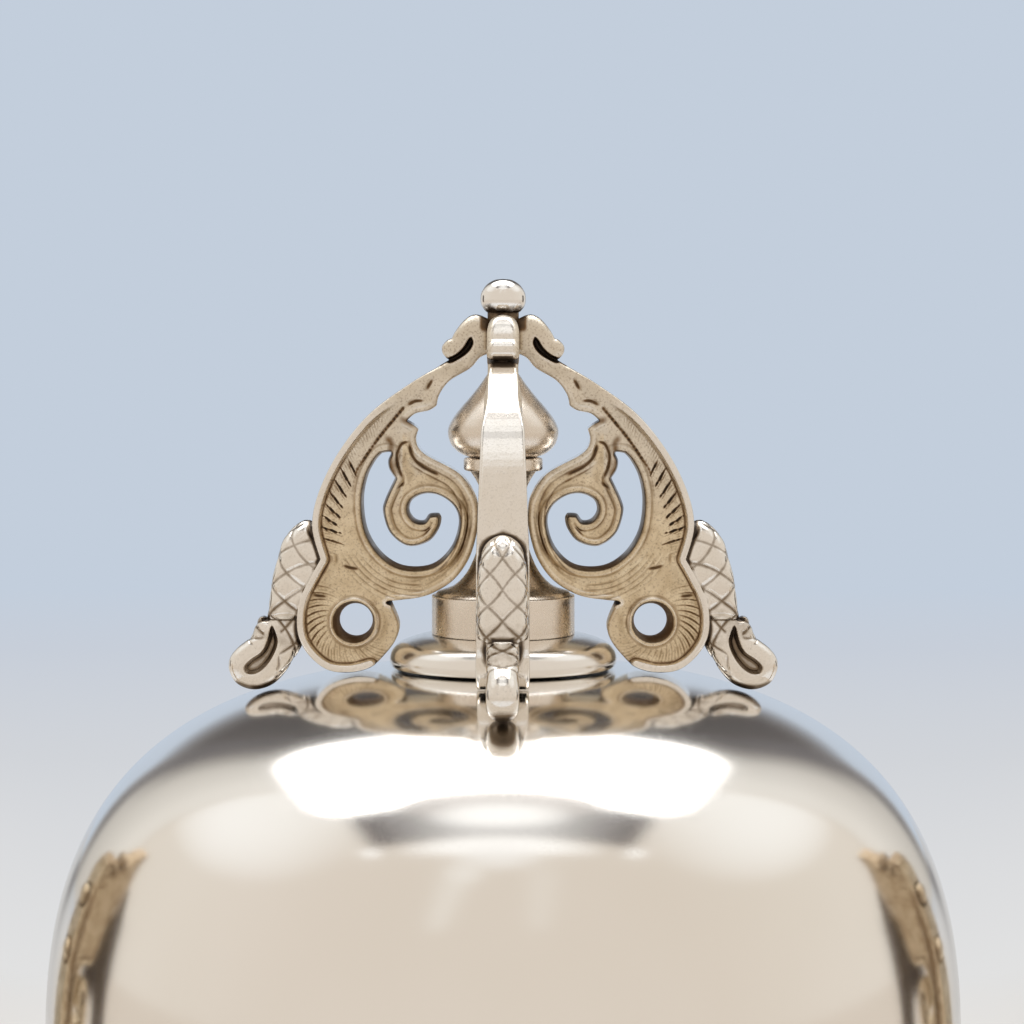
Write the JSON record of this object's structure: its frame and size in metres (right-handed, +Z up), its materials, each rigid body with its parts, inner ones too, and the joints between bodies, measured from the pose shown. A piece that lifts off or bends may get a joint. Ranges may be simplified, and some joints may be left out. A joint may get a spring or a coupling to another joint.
{
  "type": "covered sugar bowl",
  "caption": "Footed silver sugar bowl with scroll handles at its sides and a squarish domed lid that lifts off, topped by an openwork cage finial of cast scroll brackets.",
  "frame": {"origin": "centre of the foot's underside, on the table", "axes": "+Z up along the bowl's axis, X from handle to handle, -Y towards the viewer"},
  "size_m": [0.2272, 0.132, 0.1873],
  "materials": {
    "polished_silver": "mirror-polished silver with fine hairline wear",
    "satin_silver": "soft satin silver, turned",
    "cast_silver": "matt cast silver with brown-black patina in the recesses"
  },
  "bodies": {
    "bowl": {"bowl_shell": "polished_silver", "bowl_rim_wire": "polished_silver", "foot_stem": "satin_silver", "foot_base": "polished_silver", "foot_rim_wire": "polished_silver", "handle_left": "cast_silver", "handle_right": "cast_silver", "handle_plate_upper_left": "polished_silver", "handle_plate_upper_right": "polished_silver", "handle_plate_lower_left": "polished_silver", "handle_plate_lower_right": "polished_silver"},
    "lid": {"lid_dome": "polished_silver", "lid_rim_wire": "polished_silver", "lid_bezel": "satin_silver", "finial_saucer": "polished_silver", "finial_drum": "satin_silver", "finial_baluster": "satin_silver", "finial_bracket_front": "cast_silver", "finial_bracket_right": "cast_silver", "finial_bracket_back": "cast_silver", "finial_bracket_left": "cast_silver", "finial_ball": "polished_silver", "finial_stud": "satin_silver", "finial_washer": "satin_silver", "finial_nut": "satin_silver"}
  },
  "joints": [
    {"name": "lid_lift", "type": "slide", "parent": "bowl", "child": "lid", "axis": [0, 0, 1], "range_m": [0, 0.12]}
  ]
}
